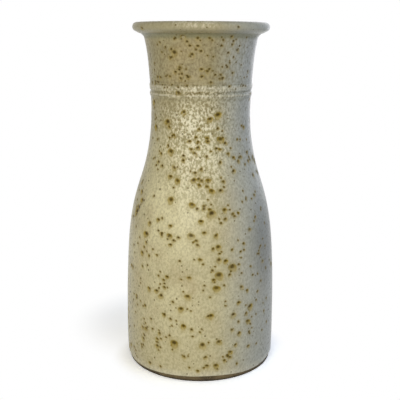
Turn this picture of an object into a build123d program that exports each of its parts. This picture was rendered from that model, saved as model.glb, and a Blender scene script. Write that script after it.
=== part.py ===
from build123d import *
import os
from math import cos, radians, sin

# Bottle vase in thrown stoneware with a speckled satin glaze. Millimetres, +Z up, and -Y is the front.
# The origin is the centre of the foot, on the surface that the vase stands on.

# Radii of the clay, before it is glazed
foot_radius = 54.4
glaze_line_radius = 55.0
belly_radius = 55.3
waist_radius = 35.1
lip_radius = 47.9

# Heights, each measured from the one before it
foot_band = 4.3
belly_rise = 26.7
shoulder_rise = 159.0
waist_rise = 8.6
lower_bead_width = 4.0
upper_bead_width = 5.8
collar_rise = 40.8

# Wall line: shares of the rise, then of the change in radius, up to the belly and from there to the waist
swell_shares = (0.33, 0.86)
shoulder_shares = ((0.28, 0.058), (0.51, 0.235), (0.62, 0.44), (0.73, 0.713), (0.845, 0.91))

# Two raised beads round the neck, and how far each line stands out from the waist
bead_step = 0.33
lower_bead_proud = 0.75
upper_bead_proud = 0.9
collar_step = 0.56
collar_lean = 3.0

# Rolled lip: its edge, its straight underside, the curve below it and the curve into the mouth
lip_roll = 2.4
under_lip_run = 5.4
under_lip_angle = 26.5
under_lip_fillet = 4.0
neck_lean = 14.0
mouth_round = 10.7

# Inside of the clay, and the turned foot
wall = 5.0
floor = 8.0
floor_corner = 16.0
foot_ring_width = 9.0
foot_recess = 3.0
recess_slope = 2.0
foot_dish = 1.2
foot_edge = 0.6

# Fired coats
glaze = 0.8
liner = 0.5

# Heights above the surface that the vase stands on
belly_height = foot_band + belly_rise
waist_height = belly_height + shoulder_rise
bead_height = waist_height + waist_rise
groove_height = bead_height + lower_bead_width
collar_height = groove_height + upper_bead_width
crest_height = collar_height + collar_rise
floor_height = foot_recess + floor

# Lines of the lip, in radius and height
roll_centre = Vector(lip_radius - lip_roll, crest_height - lip_roll)
mouth_centre = Vector(roll_centre.X, crest_height - mouth_round)
under_lip_along = Vector(cos(radians(under_lip_angle)), sin(radians(under_lip_angle)))
under_lip_down = Vector(sin(radians(under_lip_angle)), -cos(radians(under_lip_angle)))
roll_foot = roll_centre + under_lip_down * lip_roll
fillet_centre = roll_foot - under_lip_along * under_lip_run + under_lip_down * under_lip_fillet
neck_up = Vector(sin(radians(neck_lean)), cos(radians(neck_lean)))
collar_up = Vector(sin(radians(collar_lean)), cos(radians(collar_lean)))


def shoulder_points(shift):
    """Points of the shoulder from belly to waist, moved out from the clay's outer line by a shift."""
    taper = belly_radius - waist_radius
    return [
        (belly_radius - drop_share * taper + shift, belly_height + rise_share * shoulder_rise)
        for rise_share, drop_share in shoulder_shares
    ]


def wall_points():
    """Points of the clay's wall, from the glaze line over belly and shoulder to the waist."""
    swell_rise, swell_out = swell_shares
    swell = belly_radius - glaze_line_radius
    return [
        (glaze_line_radius, foot_band),
        (glaze_line_radius + swell_out * swell, foot_band + swell_rise * belly_rise),
        (belly_radius, belly_height),
        *shoulder_points(0),
        (waist_radius, waist_height),
    ]


# The clay's wall line, and the way up and out of it at the glaze line
clay_line = Spline(*wall_points(), (waist_radius + bead_step, bead_height))
glaze_line_up = clay_line % 0
glaze_line_out = Vector(glaze_line_up.Y, -glaze_line_up.X)


def coat_points(coat):
    """Points of the wall moved square off the clay by a coat, the first one lifted by the coat's rounded edge."""
    points = []
    for place in wall_points():
        up = clay_line.tangent_at(Vector(*place))
        points.append(Vector(*place) + Vector(up.Y, -up.X) * coat)
    points[0] = points[0] + glaze_line_up * coat
    return points


def draw_outside(coat):
    """Draws the outer line from glaze line to mouth, a coat's thickness off the clay."""
    bead_radius = waist_radius + bead_step + coat
    body_line = Spline(*coat_points(coat), (bead_radius, bead_height))
    lower_bead = ThreePointArc(
        body_line @ 1,
        (bead_radius + lower_bead_proud, (bead_height + groove_height) / 2),
        (bead_radius, groove_height),
    )
    upper_bead = ThreePointArc(
        lower_bead @ 1,
        (bead_radius + upper_bead_proud, (groove_height + collar_height) / 2),
        (bead_radius + collar_step, collar_height),
    )
    fillet_turn = 90 - neck_lean - under_lip_angle
    under_fillet = CenterArc(fillet_centre, under_lip_fillet - coat, 180 - neck_lean, -fillet_turn)
    Spline(upper_bead @ 1, under_fillet @ 0, tangents=(collar_up, neck_up))
    roll = CenterArc(roll_centre, lip_roll + coat, under_lip_angle - 90, 180 - under_lip_angle)
    Line(under_fillet @ 1, roll @ 0)
    CenterArc(mouth_centre, mouth_round + coat, 90, 90 - neck_lean)


def mouth_point(coat):
    """Point in the mouth where the outer coat ends and the liner starts, a coat's thickness off the clay."""
    reach = mouth_round + coat
    return mouth_centre + Vector(-neck_up.Y, neck_up.X) * reach


def draw_inside(coat):
    """Draws the inner line from mouth to the middle of the floor, a coat's thickness off the clay."""
    inset = -wall - coat
    inner_line = Spline(
        mouth_point(coat),
        (waist_radius + inset, waist_height),
        *reversed(shoulder_points(inset)),
        (belly_radius + inset, floor_height + floor_corner),
        tangents=(-neck_up, (0, -1)),
    )
    corner = JernArc(inner_line @ 1, (0, -1), floor_corner - coat, -90)
    Line(corner @ 1, (0, floor_height + coat))


# Clay: foot, wall, beads, lip and floor turned as one piece
with BuildPart() as stoneware_body:
    with BuildSketch(Plane.XZ):
        with BuildLine():
            foot_inner = foot_radius - foot_ring_width
            recess_edge = (foot_inner - recess_slope, foot_recess)
            Polyline(recess_edge, (foot_inner, 0), (foot_radius, 0), (glaze_line_radius, foot_band))
            dish = TangentArc((0, foot_recess + foot_dish), recess_edge, tangent=(1, 0))
            draw_outside(0)
            draw_inside(0)
            Line((0, floor_height), dish @ 0)
        make_face()
    revolve(axis=Axis.Z)
    fillet(stoneware_body.edges().group_by(Axis.Z)[0], radius=foot_edge)
stoneware_body.part.label = "stoneware_body"

# Outer coat, from a rounded lower edge over the lip into the mouth
with BuildPart() as outer_glaze:
    with BuildSketch(Plane.XZ):
        with BuildLine():
            draw_outside(0)
            draw_outside(glaze)
            JernArc(clay_line @ 0, glaze_line_out, glaze, 90)
            Line(mouth_point(0), mouth_point(glaze))
        make_face()
    revolve(axis=Axis.Z)
outer_glaze.part.label = "outer_glaze"

# Liner: the coat that holds the water, from the mouth down over the floor
with BuildPart() as liner_glaze:
    with BuildSketch(Plane.XZ):
        with BuildLine():
            draw_inside(0)
            draw_inside(liner)
            Line(mouth_point(0), mouth_point(liner))
            Line((0, floor_height), (0, floor_height + liner))
        make_face()
    revolve(axis=Axis.Z)
liner_glaze.part.label = "liner_glaze"

os.makedirs("parts", exist_ok=True)
for piece in (stoneware_body, outer_glaze, liner_glaze):
    export_step(piece.part, f"parts/{piece.part.label}.step")
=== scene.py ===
import math
import random
from collections import namedtuple

import bpy
import numpy as np
from bpy.props import FloatProperty, FloatVectorProperty, IntProperty, PointerProperty
from mathutils import Matrix, Vector, noise


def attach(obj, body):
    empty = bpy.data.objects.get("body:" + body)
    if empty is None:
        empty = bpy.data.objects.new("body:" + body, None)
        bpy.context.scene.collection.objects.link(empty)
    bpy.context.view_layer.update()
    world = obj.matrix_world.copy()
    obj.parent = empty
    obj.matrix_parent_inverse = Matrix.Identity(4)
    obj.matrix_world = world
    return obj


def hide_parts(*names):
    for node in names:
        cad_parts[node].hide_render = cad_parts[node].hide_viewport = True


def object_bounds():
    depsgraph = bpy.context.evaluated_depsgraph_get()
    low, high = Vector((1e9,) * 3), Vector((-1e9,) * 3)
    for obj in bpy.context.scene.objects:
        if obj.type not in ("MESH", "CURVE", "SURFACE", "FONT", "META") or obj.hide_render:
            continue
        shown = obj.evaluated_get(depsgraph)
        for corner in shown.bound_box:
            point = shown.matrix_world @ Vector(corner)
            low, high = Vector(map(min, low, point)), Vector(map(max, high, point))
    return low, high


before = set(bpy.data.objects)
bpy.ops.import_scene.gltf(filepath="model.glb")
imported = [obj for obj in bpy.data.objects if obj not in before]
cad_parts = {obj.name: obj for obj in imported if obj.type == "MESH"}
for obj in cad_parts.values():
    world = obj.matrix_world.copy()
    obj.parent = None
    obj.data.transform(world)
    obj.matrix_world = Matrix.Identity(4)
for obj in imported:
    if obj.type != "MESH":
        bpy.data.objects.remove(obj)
CAD_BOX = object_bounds()

bl_info = {
    "name": "Speckled Bottle Vase",
    "version": (1, 0, 0),
    "blender": (4, 5, 0),
    "location": "View3D > Sidebar > Vase",
    "description": "Dresses a stoneware bottle vase in bare clay, a liner and a pitted satin glaze",
    "category": "Object",
}

MM = 0.001
TURN = 2 * math.pi
BODY = "root"

# Points closer than this are one point
MERGE_GAP = 0.01 * MM
# Step of a section line before its rings are chosen
FINE_STEP = 0.2 * MM
# Section lines are eased, but a turn sharper than this stays a corner, and a step this many times as long
# as the one beside it stays straight
CORNER_TURN = math.radians(14)
LONG_STEP = 3
# Widest turn from ring to ring: on the coat, its back and the clay
COAT_TURN, BACK_TURN, CLAY_TURN = (math.radians(turn) for turn in (10, 40, 12))
# The coat's back, in the clay: how far above the coat's edge it starts, and its step from ring to ring
BACK_START, BACK_STEP = 3 * MM, 12 * MM
# Heights above the coat's edge: where its run ends, and where pits and lumps have their full depth
RUN_TOP, FULL_DEPTH = 8 * MM, 5 * MM
# A vertex this near to the turned surface is on the coat's outside
SHOWN_GAP = 0.3 * MM
# Reach of the smoothing that shows crests and hollows
CREST_REACH = 2.2 * MM
# How far those lie off it, from no tone to full tone
CREST_RISE, HOLLOW_SINK = (0, 0.2 * MM), (0.06 * MM, 0.26 * MM)
# Heights above the coat's edge between which its pale rim, painted light on the rolled edge, fades
PALE_RIM = (1.8 * MM, 5.5 * MM)
# The foot's edge is below this height, and its dish lower than this above the coat's edge
FOOT_EDGE, DISH_TOP = 1 * MM, 2 * MM
# Share of a normal that counts as facing a way
FACING = 0.5

# Fine lines that the tool left at the beads and under the lip: height in mm, and share of a full depth
TOOL_LINES = {200.0: 0.8, 202.8: 0.9, 205.3: 0.4, 208.2: 1.0, 209.8: 0.5, 241.9: 1.2}
TOOL_LINE_REACH = 0.4 * MM

# Pits on the front, read one by one: width in mm, then degrees round (plus is right) and height in mm of
# each
FRONT_PITS = {
    5.4: ((9, 122), (24.5, 84), (14, 79), (-19, 28)),
    4.5: ((-40, 182), (19, 187.5), (22, 171), (-33, 162), (-26, 130), (-47, 104), (-7, 107), (12, 70),
          (40, 52), (2, 28), (-28, 229)),
    3.7: ((10, 185), (-22, 143), (-6.5, 144), (10, 137), (-7, 128), (-24, 106), (13.5, 99), (14, 90),
          (-30, 62), (-9, 64), (-14, 54.5), (8, 50), (25, 49), (38, 41.5), (-12, 42), (14, 30), (12, 12),
          (-17, 239.5)),
    3.2: ((-19, 189.5), (-27, 151.5), (-30, 145.5), (34, 149), (7, 144), (18, 137), (0.5, 117), (20, 124),
          (-44, 112), (12, 107), (-50, 89.5), (19, 89), (32, 68.5), (-41, 65), (-34, 65), (-44, 34),
          (30, 34), (-47, 25), (-33, 23.5), (23, 21), (-9, 228), (-25, 202.5)),
    2.6: ((7.5, 125), (-37, 179), (7, 172), (27, 168.5), (-12, 170), (-3, 166), (-37, 166), (-6, 162),
          (30, 161), (46, 158), (-18, 157), (20, 155.5), (-42, 152), (1, 144), (-2, 145), (6, 140),
          (-1, 141), (3, 127), (27, 121), (20, 118), (-24, 113), (-31, 107), (3, 109.5), (-3, 104),
          (-2, 101), (-23, 100), (0, 91), (9, 83), (22, 79), (-25, 77), (-8, 78), (-67, 76), (-27, 69),
          (-27, 48.5), (-6, 40), (24, 38), (-33, 29), (27, 26), (4, 19), (-11.5, 19), (5, 12.5),
          (-33, 226), (0.5, 218.5), (-55, 245)),
    2.1: ((20, 234), (28, 229.5), (28, 220), (35, 216), (-11, 234), (-25, 239), (8, 239), (10.5, 210),
          (20, 212.5), (21, 215), (-5, 231.5), (0, 230.5), (-15, 207.5), (30, 246)),
}

# Small pits between those: degrees to each side of the front, then two heights in mm and a count
FRONT_SPAN = 64
FRONT_SCATTER = ((8, 180, 230), (206, 240, 70))
# Groups of pits elsewhere: where one starts, how far it may reach and its step from pit to pit, in degrees
# round from the front and mm of height
PIT_GROUPS = 74
GROUP_SIZES = (1, 1, 2, 2, 3, 4, 5)
GROUP_STARTS = ((62, 298), (9, 238))
GROUP_LIMITS = ((60, 300), (8, 240))
GROUP_STEPS = (6, 7)
# Width in mm of a scattered pit: the least, how much more, and the power that makes wide ones rare
FRONT_WIDTHS = (1.4, 1.4, 2)
GROUP_WIDTHS = (1.7, 3.4, 2.6)

# A pit's radius as a share of its width, and its depth, lip and stain as shares of its radius
PIT_RADIUS_SHARE = 0.64
PIT_DEPTH_SHARE = 0.34
PIT_LIP_SHARE = 0.03
PIT_STAIN_SHARE = 2.6
# Radii between which a pit's iron, which is partly painted shade, draws back to its upper edge
PIT_IRON_RADII = (1.0 * MM, 2.0 * MM)
# Faces round a pit that look out with it are split twice: within a share of its radius plus a length
PIT_SPLITS = ((1.35, 0.8 * MM), (1.1, 0.3 * MM))
PIT_FACING = 0.3

# Heights in m between which things start or end on the wall
NECK_STAINS = (0.195, 0.210)
BEADS_START = (0.1993, 0.2003)
FINGERS_START, FINGERS_END = (0.211, 0.217), (0.232, 0.240)
LIP_TONES = (0.212, 0.225)
LIP_START = (0.2425, 0.2435)
LINER_RINGS_END = (0.222, 0.236)
# Radii where liner rings and turning marks start, and distances from the foot ring where the marks end
LINER_RINGS_START, MARKS_START, MARKS_END = (4 * MM, 14 * MM), (2 * MM, 6 * MM), (2.5 * MM, 5 * MM)
# Size of the slow lumps in the wall, and rise from one finger line to the next
LUMP_SIZE = 47 * MM
FINGER_PITCH = 5.2 * MM

# What the glaze keeps at each vertex for its material
TONES = ("crest", "hollow", "pit_olive", "pit_iron")
# Painted highlight in grains under the beads, on them and on the lip: a share, then heights where it starts
# and stops and distances to the side, in mm, each from none of it to all of it. It also fades from front to
# back.
PAINTED_SPARKLE = (
    (1.0, (100, 172), (203, 188), (44, 18)),
    (0.65, (198.5, 200.5), (209, 207), (44, 18)),
    (0.4, (244, 247), (260, 250), (31, 15)),
)
SPARKLE_DEPTH = (20, -20)
# Painted shade: a darker band low on the right, about 50 mm wide and 90 mm tall
DARK_BAND_CENTRE = (47 * MM, -27 * MM, 97 * MM)
DARK_BAND_REACH = (25 * MM, 25 * MM, 46 * MM)

# Heights and radii between which the painted contact shadow on the foot's edge comes in
CONTACT_SHADOW_HEIGHTS = (2.4 * MM, 0.6 * MM)
CONTACT_SHADOW_RADII = (53 * MM, 53.8 * MM)

# Lamps: degrees round from the front (plus is right) and above the floor, then distance and sizes in m
LAMPS = {
    "key": (-15, 13, 0.95, (0.5, 0.5)),
    "top": (62, 50, 0.8, (0.45, 0.45)),
    "side": (112, 4, 0.7, (0.25, 0.6)),
    "back": (162, 15, 1.4, (1.6, 1.2)),
}
# Shadows that the floor shows: centre, and distances between which they fade, in mm
SHADED_FLOOR = (((-25, 55, 0), (40, 90)), ((0, 0, 0), (56, 72)))
FLOOR_SIDES = 96
# Camera: its place in m, and its tilt down and roll in degrees
CAMERA_PLACE = (-0.0003, -0.5, 0.24)
CAMERA_DOWN, CAMERA_ROLL = 13.43, 0.245

# Kinds of node, and settings that many share
NOISE, CELLS, SPLIT = "ShaderNodeTexNoise", "ShaderNodeTexVoronoi", "ShaderNodeSeparateXYZ"
RANGE, MATH, VECTOR, MIX = "ShaderNodeMapRange", "ShaderNodeMath", "ShaderNodeVectorMath", "ShaderNodeMix"
SMOOTH = {"interpolation_type": "SMOOTHSTEP"}
RGBA = {"data_type": "RGBA"}


def linear(code):
    """Linear colour of an sRGB hex value."""
    shares = [int(code[at:at + 2], 16) / 255 for at in (1, 3, 5)]
    return [s / 12.92 if s <= 0.04045 else ((s + 0.055) / 1.055) ** 2.4 for s in shares]


def tint(name, about, code):
    """Colour that a user would change, from its sRGB hex value."""
    return FloatVectorProperty(name=name, description=about, subtype="COLOR", size=3, min=0, max=1,
                               default=linear(code))


def length(name, about, size):
    """Length that a user would change, from its size in millimetres."""
    return FloatProperty(name=name, description=about, unit="LENGTH", min=0, precision=5, default=size * MM)


def power(name, about, watts):
    """Power of a lamp that a user would change."""
    return FloatProperty(name=name, description=about, unit="POWER", min=0, default=watts)


class VASE_PG_glaze(bpy.types.PropertyGroup):
    """Sizes and colours of the speckled outer coat."""

    ring_spacing: length("Ring spacing", "Widest step between two rings of the wall", 2.0)
    segments: IntProperty(name="Segments", description="Steps round the wall", default=168, min=32)
    flow: length("Flow", "How far the melt has rounded the turned edges", 0.18)
    coat: length("Coat", "Thickness of the coat and of the clay that it has eaten into", 1.35)
    edge_run: length("Edge run", "How far the lower edge has run down in places", 1.3)
    tool_line: length("Tool lines", "Full depth of a fine line at the beads or under the lip", 0.22)
    pit_depth: length("Pit depth", "Deepest that a pit can be", 0.85)
    throwing: length("Throwing lines", "Height of the lines that the fingers left on the neck", 0.05)
    sway: length("Sway", "How far the thrown wall wanders from a turned form", 0.16)
    seed: IntProperty(name="Seed", description="Scatter of the pits that aren't read by eye", default=7)
    buff: tint("Buff", "Thick satin glaze on the belly", "#ECE5BD")
    # Also painted shade towards the foot and low on the right
    deep_buff_and_shade: tint("Deep buff", "Clouds in the buff", "#D0C7A0")
    blush: tint("Blush", "Patches where the clay warms the glaze", "#C8B78E")
    neck_tan: tint("Neck tan", "Thinner glaze on the neck, where the clay shows through", "#AAA07D")
    # Painted cool light: greyer where cool light from the right falls and reflects
    painted_cool_light: tint("Ash", "Greyer glaze on the side that stood cooler in the kiln", "#C3C6C0")
    # Painted shade: a darker band low on the right side
    dark_band: tint("Smoke", "Darker smear low on that side", "#8F908A")
    # Partly pooled glaze, partly painted shade in the grooves and under the lip
    pooled: tint("Pooled", "Glaze that has pooled in the grooves", "#868668")
    # Painted highlight on the bead and lip crests, and painted light on the foot's rolled edge
    pale: tint("Pale", "Crests and the rolled edge at the foot", "#EEEAD6")
    # Painted highlight: bright grains that stand for the lamps' glint on the skin at the front
    highlight_fleck: tint("Fleck", "Bright grains where the skin has broken", "#F4EED6")
    grain: tint("Grain", "Shade of the dark grains in the skin", "#968B5F")
    speck: tint("Speck", "Small iron specks", "#6A5B28")
    olive: tint("Pit olive", "Stained glaze in and round a pit", "#9E8830")
    # Partly burnt iron, partly painted shade under the upper edge of a pit
    iron: tint("Pit iron", "Burnt iron under the upper edge of a pit", "#463604")


class VASE_PG_liner(bpy.types.PropertyGroup):
    """Sizes and colours of the liner glaze."""

    ring_spacing: length("Ring spacing", "Widest step between two rings of the liner", 1.6)
    segments: IntProperty(name="Segments", description="Steps round the liner", default=160, min=32)
    throwing: length("Throwing rings", "Height of the spiral that the fingers left inside", 0.22)
    throwing_pitch: length("Throwing pitch", "Rise of that spiral in one turn", 6.5)
    cream: tint("Cream", "Plain satin liner", "#BDB491")
    shade: tint("Shade", "Darker clouds in the liner", "#9C9168")
    speck: tint("Speck", "Small iron specks in the liner", "#5E4E26")


class VASE_PG_clay(bpy.types.PropertyGroup):
    """Sizes and colours of the bare clay."""

    ring_spacing: length("Ring spacing", "Widest step between two rings of the clay", 2.5)
    foot_spacing: length("Foot spacing", "Widest step between two rings under the foot", 0.42)
    segments: IntProperty(name="Segments", description="Steps round the clay", default=192, min=32)
    under_coat: length("Under the coat", "How far the clay lies back where glaze covers it", 0.6)
    turning: length("Turning marks", "Height of the marks that the turning tool left under the foot", 0.06)
    turning_pitch: length("Turning pitch", "Step between two of those marks", 1.9)
    toasted: tint("Toasted", "Clay that the kiln has toasted", "#7A6A4C")
    burnt: tint("Burnt", "Darkest patches of the clay", "#50442F")
    grog: tint("Grog", "Pale grit in the clay", "#8F7E5E")
    # Painted contact shadow along the lowest edge of the foot
    contact_shadow: tint("Charred", "Lowest edge of the foot", "#241F15")


class VASE_PG_stage(bpy.types.PropertyGroup):
    """Lights, floor and camera."""

    floor_radius: length("Floor radius", "Reach of the floor", 4000)
    floor: tint("Floor", "Pale floor", "#E2E4E6")
    key: tint("Key light", "Soft light ahead, to the left", "#FFFAEE")
    top: tint("Top light", "Soft light from above, to the right", "#D8E6FF")
    side: tint("Side light", "Cool strip of light on the right", "#A4C8FF")
    back: tint("Back light", "Wide dim light behind", "#F4F6FF")
    key_power: power("Key power", "Power of the key light", 5.5)
    top_power: power("Top power", "Power of the top light", 1.4)
    side_power: power("Side power", "Power of the side light", 0.52)
    back_power: power("Back power", "Power of the back light", 7.5)
    room: FloatProperty(name="Room light", description="Level of light all round", default=0.05, min=0)
    lens: FloatProperty(name="Lens", description="Focal length (36 mm frame)", default=61.5, unit="CAMERA")


def add_node(tree, kind, inputs=None, **settings):
    """Adds a node with its settings and with values or links in its inputs, and gives its outputs."""
    node = tree.nodes.new(kind)
    for name, value in settings.items():
        setattr(node, name, value)
    for key, value in (inputs or {}).items():
        if isinstance(value, bpy.types.NodeSocket):
            tree.links.new(value, node.inputs[key])
        else:
            node.inputs[key].default_value = value
    return node.outputs


def opaque(colour):
    """Colour of a property with the alpha that a socket wants."""
    return (*colour, 1.0)


def new_material(name):
    """Empty material, its node tree, and the place on the piece that its patterns read."""
    material = bpy.data.materials.new(name)
    material.use_nodes = True
    tree = material.node_tree
    tree.nodes.clear()
    return material, tree, add_node(tree, "ShaderNodeTexCoord")["Object"]


def iron_specks(tree, place, spacing, bare, widest, edge, **easing):
    """Share of iron specks: one to a cell, but none in a bare share of the cells. The widest radius and the
    soft edge are shares of the spacing."""
    cell = add_node(tree, CELLS, {"Vector": place, "Scale": 1 / spacing})
    chance = add_node(tree, "ShaderNodeSeparateColor", {0: cell["Color"]})[0]
    wide = add_node(tree, RANGE, {0: chance, 1: bare, 2: 1.0, 3: 0.0, 4: widest})[0]
    within = add_node(tree, MATH, {0: wide, 1: cell["Distance"]}, operation="SUBTRACT")[0]
    return add_node(tree, RANGE, {0: within, 1: -0.02, 2: edge, 4: 0.8}, **easing)[0]


def fired_surface(tree, colour, gloss, bumps, depth, inputs):
    """Ends a material: a fired surface of a colour and gloss, with bumps of a depth and other inputs."""
    relief = add_node(tree, "ShaderNodeBump", {"Strength": 1.0, "Distance": depth, "Height": bumps})[0]
    surface = add_node(tree, "ShaderNodeBsdfPrincipled",
                       {"Base Color": colour, "Roughness": gloss, "Normal": relief, **inputs})[0]
    add_node(tree, "ShaderNodeOutputMaterial", {"Surface": surface})


def rows_of(elements, what):
    """Places or normals of a mesh's vertices or faces, as rows."""
    rows = np.empty(len(elements) * 3)
    elements.foreach_get(what, rows)
    return rows.reshape(-1, 3)


# Section lines: arrays of (radius, height) rows, in metres


def section_line(name):
    """Section of a turned node at its seam, from its lowest end or point and by the lower way from there."""
    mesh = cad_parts[name].data
    grid = MERGE_GAP / 4
    spots = rows_of(mesh.vertices, "co")
    on_seam = (np.abs(spots[:, 1]) < grid) & (spots[:, 0] > 0)
    cells = np.round(spots[:, [0, 2]] / grid).astype(int)
    links = {}
    for face in mesh.polygons:
        corners = list(face.vertices)
        for pair in zip(corners, corners[1:] + corners[:1]):
            if on_seam[pair[0]] and on_seam[pair[1]]:
                first, second = (tuple(cells[corner]) for corner in pair)
                if first != second:
                    links.setdefault(first, set()).add(second)
                    links.setdefault(second, set()).add(first)
    ends = [spot for spot, others in links.items() if len(others) == 1]
    line = [min(ends or links, key=lambda spot: (spot[1], spot[0]))]
    seen = set(line)
    while onward := links[line[-1]] - seen:
        line.append(min(onward, key=lambda spot: spot[1]))
        seen.add(line[-1])
    return np.array(line) * grid


def directions(line):
    """Unit direction and length of each step of a line."""
    steps = np.diff(line, axis=0)
    lengths = np.linalg.norm(steps, axis=1)
    return steps / lengths[:, None], lengths


def eased_line(line, spacing):
    """The same line through more points: curved between its corners, and at most a spacing apart."""
    ways, lengths = directions(line)
    turns = np.arccos(np.clip((ways[:-1] * ways[1:]).sum(1), -1, 1))
    smooth = np.concatenate(([False], turns < CORNER_TURN, [False]))
    blend = lengths[1:, None] * ways[:-1] + lengths[:-1, None] * ways[1:]
    tangents = np.vstack((ways[:1], blend / np.linalg.norm(blend, axis=1)[:, None], ways[-1:]))
    beside = np.concatenate((lengths[:1], lengths, lengths[-1:]))
    eased = []
    for at, (way, size) in enumerate(zip(ways, lengths)):
        start = tangents[at] if smooth[at] and size < LONG_STEP * beside[at] else None
        end = tangents[at + 1] if smooth[at + 1] and size < LONG_STEP * beside[at + 2] else None
        if start is None:
            start = way if end is None else 2 * way * (way @ end) - end
        if end is None:
            end = 2 * way * (way @ start) - start
        count = math.ceil(size / spacing)
        share = np.arange(count)[:, None] / count
        back = 1 - share
        eased.append(
            (1 + 2 * share) * back**2 * line[at] + share**2 * (3 - 2 * share) * line[at + 1]
            + share * back**2 * size * start - share**2 * back * size * end
        )
    return np.vstack((*eased, line[-1:]))


def flowed_line(line, spacing, reach):
    """A finely stepped line with its corners rounded, as melted glaze rounds them. Its ends stay."""
    half = math.ceil(3 * reach / spacing)
    weights = np.exp(-0.5 * (np.arange(-half, half + 1) * spacing / reach) ** 2)
    weights /= weights.sum()
    padded = np.vstack((np.repeat(line[:1], half, 0), line, np.repeat(line[-1:], half, 0)))
    flowed = np.stack([np.convolve(padded[:, axis], weights, "valid") for axis in (0, 1)], 1)
    flowed[0], flowed[-1] = line[0], line[-1]
    return flowed


def stations(line, spacings, turn):
    """Which points of a fine line carry a ring: no step is longer than its spacing or turns too far."""
    ways, lengths = directions(line)
    bends = np.concatenate(([0], np.arccos(np.clip((ways[:-1] * ways[1:]).sum(1), -1, 1))))
    limits = np.broadcast_to(spacings, len(line))
    chosen, gone, turned = [0], 0.0, 0.0
    for at, (size, bend) in enumerate(zip(lengths, bends)):
        if at > chosen[-1] and (gone + size > limits[at] or turned + bend > turn):
            chosen.append(at)
            gone = turned = 0.0
        gone += size
        turned += bend
    return np.array(chosen + [len(line) - 1])


def outward(line):
    """Unit normals of a line, on its right-hand side."""
    ways = np.gradient(line, axis=0)
    ways /= np.linalg.norm(ways, axis=1)[:, None]
    return np.stack((ways[:, 1], -ways[:, 0]), 1)


def ramp(value, low, high):
    """Smooth step from 0 at low to 1 at high, for arrays."""
    share = np.clip((value - low) / (high - low), 0, 1)
    return share * share * (3 - 2 * share)


# Pieces: spun, then shaped by their vertices


def spin_piece(name, line, segments):
    """New piece: a vertex is drawn out along a section line, and the line is spun round the axis."""
    bpy.ops.object.select_all(action="DESELECT")
    bpy.ops.mesh.primitive_plane_add(size=MM, location=(0, 0, 0))
    piece = bpy.context.active_object
    piece.name = piece.data.name = name
    bpy.ops.object.mode_set(mode="EDIT")
    bpy.ops.mesh.select_all(action="SELECT")
    bpy.ops.mesh.merge(type="CENTER")
    bpy.ops.transform.translate(value=(line[0][0], 0, line[0][1]))
    for radius, height in np.diff(line, axis=0):
        bpy.ops.mesh.extrude_region_move(TRANSFORM_OT_translate={"value": (radius, 0, height)})
    bpy.ops.mesh.select_all(action="SELECT")
    bpy.ops.mesh.spin(steps=segments, angle=TURN, center=(0, 0, 0), axis=(0, 0, 1))
    bpy.ops.mesh.select_all(action="SELECT")
    bpy.ops.mesh.remove_doubles(threshold=MERGE_GAP)
    bpy.ops.mesh.normals_make_consistent(inside=False)
    bpy.ops.object.mode_set(mode="OBJECT")
    return piece


def round_axis(spots):
    """Distance from the axis, and turn from the front towards the right, of each place."""
    return np.hypot(spots[:, 0], spots[:, 1]), np.arctan2(spots[:, 0], -spots[:, 1])


def dress(piece, spots, node, material):
    """Moves the vertices into place, and gives the piece its shading, material and part in the frame."""
    piece.data.vertices.foreach_set("co", spots.ravel())
    piece.data.update()
    piece.data.materials.append(material)
    bpy.ops.object.select_all(action="DESELECT")
    piece.select_set(True)
    bpy.context.view_layer.objects.active = piece
    bpy.ops.object.shade_smooth()
    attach(piece, BODY)
    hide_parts(node)


# Outer coat

# A pit's centre, its ways out of the wall, up it and across it, its radius, and two shares that vary it
Pit = namedtuple("Pit", "centre out up across radius heavy shape")


def scatter_pits(draw):
    """Turn, height and width of all pits: those listed, small ones between, and groups elsewhere."""
    pits = [(turn, height, width) for width, places in FRONT_PITS.items() for turn, height in places]
    least, more, rare = FRONT_WIDTHS
    for low, high, count in FRONT_SCATTER:
        for _ in range(count):
            turn, height = draw.uniform(-FRONT_SPAN, FRONT_SPAN), draw.uniform(low, high)
            pits.append((turn, height, least + more * draw.random() ** rare))
    least, more, rare = GROUP_WIDTHS
    for _ in range(PIT_GROUPS):
        place = [draw.uniform(*ends) for ends in GROUP_STARTS]
        for _ in range(draw.choice(GROUP_SIZES)):
            pits.append((*place, least + more * draw.random() ** rare))
            place = [min(max(at + draw.gauss(0, step), low), high)
                     for at, step, (low, high) in zip(place, GROUP_STEPS, GROUP_LIMITS)]
    return pits


def place_pits(line, seed):
    """Pits on the wall that a section line turns."""
    draw = random.Random(seed)
    normals = outward(line)
    axis = np.array((0, 0, 1))
    pits = []
    for turn, height, width in scatter_pits(draw):
        at = int(np.argmax(line[:, 1] >= height * MM))
        around = np.array((math.sin(math.radians(turn)), -math.cos(math.radians(turn)), 0))
        out = normals[at][0] * around + normals[at][1] * axis
        up = normals[at][0] * axis - normals[at][1] * around
        centre = line[at][0] * around + line[at][1] * axis
        radius = PIT_RADIUS_SHARE * width * MM
        pits.append(Pit(centre, out, up, np.cross(up, out), radius, draw.random(), draw.random()))
    return pits


def refine_near(piece, pits, reach_share, reach):
    """Splits the outer faces of a piece that lie within a share of a pit's radius plus a reach."""
    mesh = piece.data
    centres, normals = rows_of(mesh.polygons, "center"), rows_of(mesh.polygons, "normal")
    near = np.zeros(len(centres), bool)
    for pit in pits:
        limit = pit.radius * reach_share + reach
        near |= (((centres - pit.centre) ** 2).sum(1) < limit**2) & (normals @ pit.out > PIT_FACING)
    mesh.vertices.foreach_set("select", np.zeros(len(mesh.vertices), bool))
    mesh.edges.foreach_set("select", np.zeros(len(mesh.edges), bool))
    mesh.polygons.foreach_set("select", near)
    bpy.ops.object.mode_set(mode="EDIT")
    bpy.ops.mesh.select_mode(type="FACE")
    bpy.ops.mesh.subdivide(number_cuts=1)
    bpy.ops.object.mode_set(mode="OBJECT")


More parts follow.
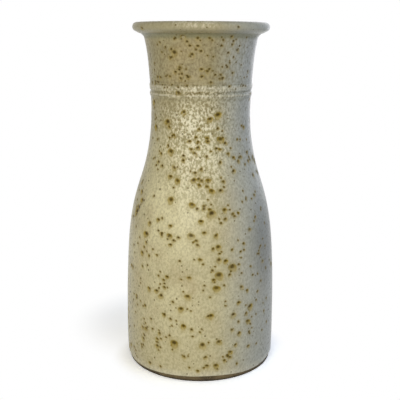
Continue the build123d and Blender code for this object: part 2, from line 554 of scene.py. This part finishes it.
def seat_on_line(spots, line, segments):
    """Puts places on the true turned surface, and gives each one's way out and nearest point of the line."""
    radii, turns = round_axis(spots)
    step = TURN / segments
    radii = radii * np.cos(np.mod(turns, step) - step / 2) / math.cos(step / 2)
    nearest = np.empty(len(spots), int)
    batch = 4000
    for first in range(0, len(spots), batch):
        rows = slice(first, first + batch)
        gaps = (radii[rows, None] - line[None, :, 0]) ** 2 + (spots[rows, None, 2] - line[None, :, 1]) ** 2
        nearest[rows] = gaps.argmin(1)
    normals = outward(line)[nearest]
    lift = ((line[nearest] - np.stack((radii, spots[:, 2]), 1)) * normals).sum(1)
    around = np.stack((np.sin(turns), -np.cos(turns)), 1)
    radii, heights = radii + lift * normals[:, 0], spots[:, 2] + lift * normals[:, 1]
    seated = np.column_stack((around * radii[:, None], heights))
    ways_out = np.column_stack((around * normals[:, :1], normals[:, 1]))
    return seated, ways_out, nearest


def sink_pits(spots, pits, deepest):
    """Lift of the wall by pits and their lips, and strength of their olive and iron stains, by place."""
    sunk, raised, olive, iron = (np.zeros(len(spots)) for _ in range(4))
    for pit in pits:
        offsets = spots - pit.centre
        near = np.flatnonzero((offsets**2).sum(1) < (PIT_STAIN_SHARE * pit.radius) ** 2)
        along, aside = offsets[near] @ pit.up / pit.radius, offsets[near] @ pit.across / pit.radius
        # The outline has two and three faint lobes
        angle = np.arctan2(along, aside)
        edge = 1 + 0.1 * np.cos(2 * angle + TURN * pit.heavy) + 0.06 * np.cos(3 * angle + TURN * pit.shape)
        share = np.hypot(along, aside) / edge
        depth = min(PIT_DEPTH_SHARE * pit.radius, deepest) * (0.75 + 0.25 * pit.heavy)
        sunk[near] = np.maximum(sunk[near], depth * np.clip(1 - share**2, 0, 1) ** 1.25)
        lip = PIT_LIP_SHARE * pit.radius * np.exp(-(((share - 1.2) / 0.2) ** 2))
        raised[near] = np.maximum(raised[near], lip)
        # Olive fills the pit, paler in its lower half as painted light on the floor that faces up, with a
        # faint halo
        filled = (0.7 + 0.3 * ramp(along, -0.6, 0.3)) * (1 - ramp(share, 0.82, 1.1))
        halo = 0.25 * (1 - ramp(share, 1.0, 2.2))
        olive[near] = np.maximum(olive[near], (0.7 + 0.3 * pit.shape) * np.maximum(filled, halo))
        # Iron lies under the upper edge, partly as painted shade of the upper wall, which faces down, and
        # covers more of a small pit
        small = 1 - ramp(pit.radius, *PIT_IRON_RADII)
        tall, broad = 0.55 + 0.25 * small, 0.66 + 0.2 * small
        core = np.hypot((along - 0.3 + 0.2 * small) / tall, aside / broad) / edge
        iron[near] = np.maximum(iron[near], (0.8 + 0.2 * pit.heavy) * (1 - ramp(core, 0.4, 1.1)))
    return raised - sunk, olive, iron


def wall_sway(spots, settings):
    """How far the thrown wall stands off a true turned form: slow lumps, and finger lines on the neck."""
    _, turns = round_axis(spots)
    lumps = np.array([noise.noise(Vector(spot) / LUMP_SIZE) for spot in spots]) * settings.sway
    on_neck = ramp(spots[:, 2], *FINGERS_START) * (1 - ramp(spots[:, 2], *FINGERS_END))
    lines = np.sin(spots[:, 2] / FINGER_PITCH * TURN + 0.6 * np.sin(turns)) * settings.throwing * on_neck
    return lumps + lines


def run_down(spots, edge, lean, reach):
    """Lets the coat's lower edge run down the leaning foot in places: least at the front, most beside it."""
    _, turns = round_axis(spots)
    run = 0.55 - 0.6 * np.cos(4 * turns) + 0.2 * np.cos(turns + 2) + 0.15 * np.cos(7 * turns + 1)
    drop = reach * run * (1 - ramp(spots[:, 2], edge[1], edge[1] + RUN_TOP))
    spots[:, :2] *= 1 - (lean * drop / edge[0])[:, None]
    spots[:, 2] -= drop


def glaze_tones(line, cut, nearest, heights, above):
    """Strength of the pale crests, which are painted highlight, and of darker glaze in the hollows, which is
    partly pooled glaze and partly painted shade. Crests stand out from the line as it is when smoothed. The
    darker glaze lies where the line lies back from that, in tool lines and on the lip."""
    proud = ((line - flowed_line(line, FINE_STEP, CREST_REACH)) * outward(line)).sum(1)[nearest]
    lined = cut[nearest]
    near_lip = ramp(heights, *LIP_TONES)
    # Pale crests on the beads and lip are painted highlight
    on_beads = (0.5 - 0.4 * near_lip) * ramp(heights, *BEADS_START) * (1 - np.minimum(lined, 1))
    # Painted light: the foot's rolled edge is paler where it turns down, away from the lamps
    at_foot = 0.45 * (1 - ramp(above, *PALE_RIM))
    crest = np.maximum(on_beads * ramp(proud, *CREST_RISE), at_foot)
    # Darker glaze in hollows and tool lines, most near the lip: partly pooled, partly painted shade
    hollow = (0.3 + 0.4 * near_lip) * ramp(-proud, *HOLLOW_SINK)
    return crest, np.maximum.reduce((hollow, 0.4 * lined, 0.22 * ramp(heights, *LIP_START)))


def painted_sparkle(tree, place, patch):
    """Share of the painted highlight at the front, most of it in the dip under the beads."""
    across, depth, height = add_node(tree, SPLIT, {0: place})
    # Its middle is a little left of the front, and its sides are ragged
    beside = add_node(tree, MATH, {0: across, 1: 4 * MM}, operation="ADD")[0]
    beside = add_node(tree, MATH, {0: beside}, operation="ABSOLUTE")[0]
    ragged = add_node(tree, MATH, {0: patch, 1: 26 * MM, 2: beside}, operation="MULTIPLY_ADD")[0]
    sparkle = 0.0
    for here, start, stop, spread in PAINTED_SPARKLE:
        for at, (none, full) in ((height, start), (height, stop), (ragged, spread), (depth, SPARKLE_DEPTH)):
            share = add_node(tree, RANGE, {0: at, 1: none * MM, 2: full * MM}, **SMOOTH)[0]
            here = add_node(tree, MATH, {0: share, 1: here}, operation="MULTIPLY")[0]
        sparkle = add_node(tree, MATH, {0: here, 1: sparkle}, operation="MAXIMUM")[0]
    return sparkle


def thin_glaze(tree, height, rightward, patch, sparkle):
    """Share of thin glaze, which grows from shoulder to lip: less in the painted highlight and on the left.
    """
    ragged = add_node(tree, MATH, {0: patch, 1: 24 * MM, 2: height}, operation="MULTIPLY_ADD")[0]
    thin = add_node(tree, RANGE, {0: ragged, 1: 140 * MM, 2: 228 * MM}, **SMOOTH)[0]
    off_sparkle = add_node(tree, RANGE, {0: sparkle, 3: 1.0, 4: 0.5})[0]
    covered = add_node(tree, RANGE, {0: rightward, 1: -0.95, 2: -0.3, 3: 0.78, 4: 1.0})[0]
    for share in (off_sparkle, covered):
        thin = add_node(tree, MATH, {0: thin, 1: share}, operation="MULTIPLY")[0]
    return thin


def clouds_and_painted_shade(tree, place, height, rightward):
    """Share of deeper buff: in clouds about 40 mm across, and as painted shade towards the foot and low on
    the right.
    """
    cloud = add_node(tree, NOISE, {"Vector": place, "Scale": 1 / (40 * MM), "Detail": 3})[0]
    clouded = add_node(tree, RANGE, {0: cloud, 1: 0.42, 2: 0.72}, **SMOOTH)[0]
    # Painted shade: darker towards the foot, and low on the right
    low = add_node(tree, RANGE, {0: height, 1: 10 * MM, 2: 135 * MM, 3: 0.9, 4: 0.0})[0]
    right = add_node(tree, RANGE, {0: rightward, 1: -0.4, 2: 0.05, 4: 0.75}, **SMOOTH)[0]
    below = add_node(tree, RANGE, {0: height, 1: 135 * MM, 2: 100 * MM}, **SMOOTH)[0]
    right_shade = add_node(tree, MATH, {0: right, 1: below}, operation="MULTIPLY")[0]
    for share in (low, right_shade):
        clouded = add_node(tree, MATH, {0: clouded, 1: share}, operation="MAXIMUM")[0]
    return clouded


def warm_blushes(tree, place):
    """Share of warmer patches, about 30 mm across and apart from the clouds."""
    aside = add_node(tree, "ShaderNodeMapping", {"Vector": place, "Location": (0.3, 0.1, 0.2)})[0]
    warmth = add_node(tree, NOISE, {"Vector": aside, "Scale": 1 / (30 * MM), "Detail": 3})[0]
    return add_node(tree, RANGE, {0: warmth, 1: 0.45, 2: 0.72, 4: 0.5}, **SMOOTH)[0]


def painted_dark_band(tree, place):
    """Share of the painted shade in a darker band low on the right."""
    shade_band = add_node(tree, VECTOR, {0: place, 1: DARK_BAND_CENTRE}, operation="SUBTRACT")[0]
    shade_band = add_node(tree, VECTOR, {0: shade_band, 1: DARK_BAND_REACH}, operation="DIVIDE")[0]
    shade_band = add_node(tree, VECTOR, {0: shade_band}, operation="LENGTH")["Value"]
    return add_node(tree, RANGE, {0: shade_band, 1: 0.2, 2: 1.0, 3: 0.6, 4: 0.0}, **SMOOTH)[0]


def grained(tree, colour, settings, grain, height, thin, sparkle):
    """Colour with dark grains, most in thin glaze and in the painted highlight, which also gets bright
    grains.
    """
    grainy = add_node(tree, MATH, {0: sparkle, 1: 0.38, 2: 0.33}, operation="MULTIPLY_ADD")[0]
    grainy = add_node(tree, MATH, {0: thin, 1: 0.18, 2: grainy}, operation="MULTIPLY_ADD")[0]
    # The lip is smoother than the neck below it
    below_lip = add_node(tree, RANGE, {0: height, 1: 235 * MM, 2: 241 * MM, 3: 1.0, 4: 0.4})[0]
    grainy = add_node(tree, MATH, {0: grainy, 1: below_lip}, operation="MULTIPLY")[0]
    grains = add_node(tree, RANGE, {0: grain, 1: 0.34, 2: 0.64, 3: 1.0, 4: 0.0})[0]
    dark = add_node(tree, MATH, {0: grains, 1: grainy}, operation="MULTIPLY")[0]
    colour = add_node(tree, MIX, {0: dark, 6: colour, 7: opaque(settings.grain)}, **RGBA,
                      blend_type="MULTIPLY")[2]
    # The bright flecks are painted highlight
    flecks = add_node(tree, RANGE, {0: grain, 1: 0.47, 2: 0.6, 4: 0.75})[0]
    bright = add_node(tree, MATH, {0: flecks, 1: sparkle}, operation="MULTIPLY")[0]
    return add_node(tree, MIX, {0: bright, 6: colour, 7: opaque(settings.highlight_fleck)}, **RGBA)[2]


def satin_glaze(settings):
    """Speckled satin stoneware glaze: buff, with orange-peel skin, iron specks and burnt pits. A highlight
    is painted at the front as bright and dark grains, thick glaze is creamy, and thin glaze shows the brown
    clay."""
    material, tree, place = new_material("satin_stoneware_glaze")
    height = add_node(tree, SPLIT, {0: place})[2]
    flat = add_node(tree, VECTOR, {0: place, 1: (1, 1, 0)}, operation="MULTIPLY")[0]
    round_way = add_node(tree, VECTOR, {0: flat}, operation="NORMALIZE")[0]
    rightward = add_node(tree, SPLIT, {0: round_way})[0]
    crest, hollow, olive, iron = (add_node(tree, "ShaderNodeAttribute", attribute_name=name)["Fac"]
                                  for name in TONES)
    # Patches of 12 mm, orange-peel grain of about 1.5 mm, drawn out downwards, and finer grain of crystals
    patch = add_node(tree, NOISE, {"Vector": place, "Scale": 1 / (12 * MM), "Detail": 2})[0]
    run = add_node(tree, "ShaderNodeMapping", {"Vector": place, "Scale": (1, 1, 0.75)})[0]
    grain = add_node(tree, NOISE, {"Vector": run, "Scale": 1 / (1.5 * MM), "Detail": 2,
                                   "Roughness": 0.55})[0]
    crystal = add_node(tree, NOISE, {"Vector": place, "Scale": 1 / (0.8 * MM), "Detail": 1})[0]

    # Each layer covers what is under it
    # Painted highlight at the front, drawn as bright and dark grains
    sparkle = painted_sparkle(tree, place, patch)
    thin = thin_glaze(tree, height, rightward, patch, sparkle)
    # Painted cool light: greyer towards the right, where cool light from the right falls and reflects
    cooler = add_node(tree, RANGE, {0: rightward, 1: 0.12, 2: 0.75, 4: 0.8}, **SMOOTH)[0]
    colour = opaque(settings.buff)
    # Painted light among these layers: shade in the deeper buff, cool light in the grey on the right, a dark
    # band low on the right, shade in the pooled glaze, and highlight on the pale crests
    for strength, layer in (
        (clouds_and_painted_shade(tree, place, height, rightward), settings.deep_buff_and_shade),
        (thin, settings.neck_tan),
        (warm_blushes(tree, place), settings.blush),
        (cooler, settings.painted_cool_light),
        (painted_dark_band(tree, place), settings.dark_band),
        (hollow, settings.pooled),
        (crest, settings.pale),
    ):
        colour = add_node(tree, MIX, {0: strength, 6: colour, 7: opaque(layer)}, **RGBA)[2]
    colour = grained(tree, colour, settings, grain, height, thin, sparkle)
    # Stains over all: dust in patches, specks up to about 1.8 mm wide in most cells of 4 mm, and the pits
    dust_level = add_node(tree, RANGE, {0: patch, 1: 0.35, 2: 0.7, 3: 0.7, 4: 0.6})[0]
    dust_over = add_node(tree, MATH, {0: crystal, 1: dust_level}, operation="SUBTRACT")[0]
    dust = add_node(tree, RANGE, {0: dust_over, 1: 0, 2: 0.06, 4: 0.25})[0]
    specks = iron_specks(tree, place, 4 * MM, 0.15, 0.23, 0.06, **SMOOTH)
    # The pits' iron is partly painted shade under their upper edges, and their olive is paler below as
    # painted light
    for strength, stain in ((dust, settings.speck), (specks, settings.speck), (olive, settings.olive),
                            (iron, settings.iron)):
        colour = add_node(tree, MIX, {0: strength, 6: colour, 7: opaque(stain)}, **RGBA)[2]

    gloss = add_node(tree, RANGE, {0: grain, 1: 0.3, 2: 0.7, 3: 0.24, 4: 0.38})[0]
    skin = add_node(tree, MATH, {0: crystal, 1: 0.4, 2: grain}, operation="MULTIPLY_ADD")[0]
    fired_surface(tree, colour, gloss, skin, 0.2 * MM, {"IOR": 1.5, "Specular IOR Level": 0.14})
    return material


class VASE_OT_glaze(bpy.types.Operator):
    """Turns the speckled outer coat, with its pits, beads and rolled edge"""

    bl_idname = "vase.glaze"
    bl_label = "Outer Glaze"

    def execute(self, context):
        settings = context.scene.vase_glaze
        # The line runs from where the coat's edge leaves the clay, up and over the lip, to the mouth
        ring = section_line("outer_glaze")
        edge = ring[0]
        line = flowed_line(eased_line(ring[:ring[:, 0].argmin() + 1], FINE_STEP), FINE_STEP, settings.flow)
        outside = np.arange(len(line)) < line[:, 1].argmax()
        cut = outside * sum(share * np.exp(-(((line[:, 1] - at * MM) / TOOL_LINE_REACH) ** 2))
                            for at, share in TOOL_LINES.items())
        line = line - outward(line) * (settings.tool_line * cut)[:, None]
        rings = line[stations(line, settings.ring_spacing, COAT_TURN)]
        back = line - outward(line) * settings.coat
        back = back[back[:, 1] > edge[1] + BACK_START]
        back = back[stations(back, BACK_STEP, BACK_TURN)][::-1]
        piece = spin_piece("speckled_glaze", np.vstack((rings, back, rings[:1])), settings.segments)

        pits = place_pits(line, settings.seed)
        for reach_share, reach in PIT_SPLITS:
            refine_near(piece, pits, reach_share, reach)
        spots = rows_of(piece.data.vertices, "co")
        seated, ways_out, nearest = seat_on_line(spots, line, settings.segments)
        shown = np.linalg.norm(seated - spots, axis=1) < SHOWN_GAP
        lift, olive, iron = sink_pits(seated, pits, settings.pit_depth)
        olive *= 1 - 0.45 * ramp(seated[:, 2], *NECK_STAINS)
        lift = (lift + wall_sway(seated, settings)) * ramp(seated[:, 2], edge[1], edge[1] + FULL_DEPTH)
        above = seated[:, 2] - edge[1]
        seated += ways_out * lift[:, None]
        clay = section_line("stoneware_body")
        foot = max(clay[clay[:, 1] < FOOT_EDGE], key=lambda spot: spot[0])
        run_down(seated, edge, (edge[0] - foot[0]) / (edge[1] - foot[1]), settings.edge_run)
        spots[shown] = seated[shown]

        crest, hollow = glaze_tones(line, cut, nearest, seated[:, 2], above)
        for name, values in zip(TONES, (crest, hollow, olive, iron)):
            shown_values = np.where(shown, values, 0).astype(np.float32)
            piece.data.attributes.new(name, "FLOAT", "POINT").data.foreach_set("value", shown_values)
        dress(piece, spots, "outer_glaze", satin_glaze(settings))
        return {"FINISHED"}


# Liner


def liner_finish(settings):
    """Poured satin liner glaze: the same buff without the heavy iron, smoother, and with darker clouds."""
    material, tree, place = new_material("poured_liner_glaze")
    # Clouds about 25 mm across, grain of about 1.5 mm, and specks up to 1 mm wide in half the cells of 5 mm
    cloud = add_node(tree, NOISE, {"Vector": place, "Scale": 1 / (25 * MM), "Detail": 3})[0]
    grain = add_node(tree, NOISE, {"Vector": place, "Scale": 1 / (1.5 * MM), "Detail": 2})[0]
    clouded = add_node(tree, RANGE, {0: cloud, 1: 0.35, 2: 0.7})[0]
    specks = iron_specks(tree, place, 5 * MM, 0.5, 0.1, 0.04)
    colour = opaque(settings.cream)
    for strength, layer in ((clouded, settings.shade), (specks, settings.speck)):
        colour = add_node(tree, MIX, {0: strength, 6: colour, 7: opaque(layer)}, **RGBA)[2]
    gloss = add_node(tree, RANGE, {0: grain, 1: 0.3, 2: 0.7, 3: 0.3, 4: 0.42})[0]
    fired_surface(tree, colour, gloss, grain, 0.08 * MM, {"IOR": 1.5})
    return material


class VASE_OT_liner(bpy.types.Operator):
    """Turns the liner from the mouth to the floor, with the spiral that the fingers left"""

    bl_idname = "vase.liner"
    bl_label = "Liner Glaze"

    def execute(self, context):
        settings = context.scene.vase_liner
        ring = section_line("liner_glaze")
        line = eased_line(np.vstack(((0, ring[0][1]), ring, (0, ring[-1][1]))), settings.ring_spacing)
        piece = spin_piece("poured_liner", line, settings.segments)
        spots, normals = (rows_of(piece.data.vertices, what) for what in ("co", "normal"))
        radii, turns = round_axis(spots)
        inward = -(normals[:, :2] * spots[:, :2]).sum(1) / np.maximum(radii, MM)
        on_floor = normals[:, 2] > FACING
        # The spiral runs out over the floor, climbs the wall and fades below the mouth and at the middle
        run = np.where(on_floor, radii, spots[:, 2] + radii.max())
        waves = np.sin(run / settings.throwing_pitch * TURN - turns) * settings.throwing
        fade = (1 - ramp(spots[:, 2], *LINER_RINGS_END)) * ramp(radii, *LINER_RINGS_START)
        spots += normals * np.where(on_floor | (inward > FACING), waves * fade, 0)[:, None]
        dress(piece, spots, "liner_glaze", liner_finish(settings))
        return {"FINISHED"}


# Clay


def clay_finish(settings):
    """Bare iron-bearing stoneware, turned and fired: dry, toasted brown, with burnt patches and grog, and
    with a painted contact shadow along the outer edge of the foot.
    """
    material, tree, place = new_material("bare_toasted_stoneware")
    # Burnt patches about 14 mm across, and grit of about 0.9 mm
    patch = add_node(tree, NOISE, {"Vector": place, "Scale": 1 / (14 * MM), "Detail": 3})[0]
    grit = add_node(tree, NOISE, {"Vector": place, "Scale": 1 / (0.9 * MM), "Detail": 2,
                                  "Roughness": 0.7})[0]
    burnt = add_node(tree, RANGE, {0: patch, 1: 0.4, 2: 0.68})[0]
    colour = add_node(tree, MIX, {0: burnt, 6: opaque(settings.toasted), 7: opaque(settings.burnt)},
                      **RGBA)[2]
    shade = add_node(tree, RANGE, {0: grit, 1: 0.3, 2: 0.7, 3: 0.72, 4: 1.2})[0]
    colour = add_node(tree, MIX, {0: 1.0, 6: colour, 7: shade}, **RGBA, blend_type="MULTIPLY")[2]
    # Grog: pale grains up to about 0.9 mm wide, in cells of 2.6 mm
    cell = add_node(tree, CELLS, {"Vector": place, "Scale": 1 / (2.6 * MM)})
    grog = add_node(tree, RANGE, {0: cell["Distance"], 1: 0.1, 2: 0.18, 3: 0.7, 4: 0.0})[0]
    # The outer edge that the foot stands on gets a painted contact shadow
    height = add_node(tree, SPLIT, {0: place})[2]
    low = add_node(tree, RANGE, {0: height, 1: CONTACT_SHADOW_HEIGHTS[0], 2: CONTACT_SHADOW_HEIGHTS[1], 4: 0.85})[0]
    flat = add_node(tree, VECTOR, {0: place, 1: (1, 1, 0)}, operation="MULTIPLY")[0]
    radius = add_node(tree, VECTOR, {0: flat}, operation="LENGTH")["Value"]
    outer = add_node(tree, RANGE, {0: radius, 1: CONTACT_SHADOW_RADII[0], 2: CONTACT_SHADOW_RADII[1]})[0]
    contact_shadow = add_node(tree, MATH, {0: low, 1: outer}, operation="MULTIPLY")[0]
    for strength, layer in ((grog, settings.grog), (contact_shadow, settings.contact_shadow)):
        colour = add_node(tree, MIX, {0: strength, 6: colour, 7: opaque(layer)}, **RGBA)[2]
    fired_surface(tree, colour, 0.88, grit, 0.2 * MM, {"IOR": 1.45})
    return material


class VASE_OT_clay(bpy.types.Operator):
    """Turns the clay: the foot with its tool marks, and the wall that lies under the coats"""

    bl_idname = "vase.clay"
    bl_label = "Stoneware"

    def execute(self, context):
        settings = context.scene.vase_clay
        line = eased_line(section_line("stoneware_body"), 2 * FINE_STEP)
        liner = section_line("liner_glaze")
        coat_edge, mouth = section_line("outer_glaze")[0], liner[liner[:, 1].argmax()]
        first, last = (np.linalg.norm(line - spot, axis=1).argmin() for spot in (coat_edge, mouth))
        foot = np.arange(len(line)) < first
        ring_inner = line[foot & (line[:, 1] < MERGE_GAP)][:, 0].min()
        covered = (np.arange(len(line)) > first) & (np.arange(len(line)) < last)
        line = line - outward(line) * np.where(covered, settings.under_coat, 0)[:, None]
        spacings = np.where(foot, settings.foot_spacing, settings.ring_spacing)
        line = line[stations(line, spacings, CLAY_TURN)]
        line = np.vstack(((0, line[0][1]), line, (0, line[-1][1])))
        piece = spin_piece("stoneware_clay", line, settings.segments)

        # Turning marks: a spiral in the dish, fading at its middle and towards the foot ring
        spots = rows_of(piece.data.vertices, "co")
        radii, turns = round_axis(spots)
        in_dish = (spots[:, 2] < coat_edge[1] + DISH_TOP) & (radii < ring_inner)
        fade = ramp(radii, *MARKS_START) * ramp(ring_inner - radii, *MARKS_END)
        waves = np.sin(radii / settings.turning_pitch * TURN + turns) * settings.turning
        spots[:, 2] += np.where(in_dish, waves * fade, 0)
        dress(piece, spots, "stoneware_body", clay_finish(settings))
        return {"FINISHED"}


# Stage


def white_rays(tree):
    """One for rays that see the white background itself: from the camera, a mirror or glass."""
    rays = add_node(tree, "ShaderNodeLightPath")
    seen = 0.0
    for kind in ("Camera", "Glossy", "Transmission"):
        seen = add_node(tree, MATH, {0: rays[f"Is {kind} Ray"], 1: seen}, operation="MAXIMUM")[0]
    return seen


def floor_finish(settings):
    """Matt pale paper. A camera sees it bright with the vase's shadow on it, and plain white further off."""
    material, tree, place = new_material("matt_white_paper")
    far = 1.0
    for centre, (start, end) in SHADED_FLOOR:
        centre = Vector(centre) * MM
        distance = add_node(tree, VECTOR, {0: place, 1: centre}, operation="DISTANCE")["Value"]
        share = add_node(tree, RANGE, {0: distance, 1: start * MM, 2: end * MM}, **SMOOTH)[0]
        far = add_node(tree, MATH, {0: share, 1: far}, operation="MINIMUM")[0]
    paper = add_node(tree, "ShaderNodeBsdfDiffuse", {"Color": opaque(settings.floor)})[0]
    lifted, white = (add_node(tree, "ShaderNodeEmission", {"Strength": share})[0] for share in (0.3, 1.0))
    bright = add_node(tree, "ShaderNodeAddShader", {0: paper, 1: paper})[0]
    near = add_node(tree, "ShaderNodeAddShader", {0: bright, 1: lifted})[0]
    seen = add_node(tree, "ShaderNodeMixShader", {0: far, 1: near, 2: white})[0]
    surface = add_node(tree, "ShaderNodeMixShader", {0: white_rays(tree), 1: paper, 2: seen})[0]
    add_node(tree, "ShaderNodeOutputMaterial", {"Surface": surface})
    return material


def room_light(amount):
    """World of even light from all round, seen as white."""
    world = bpy.data.worlds.new("studio")
    world.use_nodes = True
    tree = world.node_tree
    tree.nodes.clear()
    soft, white = (add_node(tree, "ShaderNodeBackground", {"Color": (1, 1, 1, 1), "Strength": strength})[0]
                   for strength in (amount, 1.0))
    surface = add_node(tree, "ShaderNodeMixShader", {0: white_rays(tree), 1: soft, 2: white})[0]
    add_node(tree, "ShaderNodeOutputWorld", {"Surface": surface})
    return world


def add_lamp(name, watts, colour):
    """Soft rectangular lamp in its place, turned to the middle of the vase."""
    turn, rise, distance, (width, tall) = LAMPS[name]
    turn, rise = math.radians(turn), math.radians(rise)
    way = Vector((math.sin(turn) * math.cos(rise), -math.cos(turn) * math.cos(rise), math.sin(rise)))
    middle = Vector((0, 0, (CAD_BOX[0][2] + CAD_BOX[1][2]) / 2))
    bpy.ops.object.light_add(type="AREA", location=middle + way * distance,
                             rotation=way.to_track_quat("Z", "Y").to_euler())
    lamp = bpy.context.active_object
    lamp.name = lamp.data.name = f"{name}_light"
    lamp.data.shape = "RECTANGLE"
    lamp.data.size, lamp.data.size_y = width, tall
    lamp.data.energy = watts
    lamp.data.color = colour


class VASE_OT_stage(bpy.types.Operator):
    """Sets the floor, the lights and the camera"""

    bl_idname = "vase.stage"
    bl_label = "Stage"

    def execute(self, context):
        settings = context.scene.vase_stage
        bpy.ops.object.select_all(action="DESELECT")
        bpy.ops.mesh.primitive_circle_add(vertices=FLOOR_SIDES, radius=settings.floor_radius,
                                          fill_type="NGON")
        floor = bpy.context.active_object
        floor.name = floor.data.name = "floor"
        floor.data.materials.append(floor_finish(settings))
        context.scene.world = room_light(settings.room)
        for name in LAMPS:
            add_lamp(name, getattr(settings, f"{name}_power"), getattr(settings, name))

        tilt = Matrix.Rotation(math.radians(90 - CAMERA_DOWN), 4, "X")
        roll = Matrix.Rotation(math.radians(CAMERA_ROLL), 4, "Z")
        bpy.ops.object.camera_add(location=CAMERA_PLACE, rotation=(tilt @ roll).to_euler())
        camera = bpy.context.active_object
        camera.name = camera.data.name = "photo_camera"
        camera.data.lens = settings.lens
        context.scene.camera = camera
        context.scene.view_settings.view_transform = "Standard"
        return {"FINISHED"}


class VASE_PT_panel(bpy.types.Panel):
    """Lists the pieces of the vase and their settings"""

    bl_idname = "VASE_PT_panel"
    bl_label = "Bottle Vase"
    bl_space_type = "VIEW_3D"
    bl_region_type = "UI"
    bl_category = "Vase"

    def draw(self, context):
        for operator, name, _ in PIECES:
            box = self.layout.box()
            box.operator(operator.bl_idname)
            settings = getattr(context.scene, name)
            for key in settings.bl_rna.properties.keys():
                if key not in ("rna_type", "name"):
                    box.prop(settings, key)


# Each operator, the name of its settings in the scene, and their group
PIECES = (
    (VASE_OT_clay, "vase_clay", VASE_PG_clay),
    (VASE_OT_liner, "vase_liner", VASE_PG_liner),
    (VASE_OT_glaze, "vase_glaze", VASE_PG_glaze),
    (VASE_OT_stage, "vase_stage", VASE_PG_stage),
)
CLASSES = (*(group for _, _, group in PIECES), *(operator for operator, _, _ in PIECES), VASE_PT_panel)


def register():
    for cls in CLASSES:
        bpy.utils.register_class(cls)
    for _, name, group in PIECES:
        setattr(bpy.types.Scene, name, PointerProperty(type=group))


def unregister():
    for _, name, _ in PIECES:
        delattr(bpy.types.Scene, name)
    for cls in reversed(CLASSES):
        bpy.utils.unregister_class(cls)


def main():
    register()
    bpy.ops.vase.clay()
    bpy.ops.vase.liner()
    bpy.ops.vase.glaze()
    bpy.ops.vase.stage()


if __name__ == "__main__":
    main()
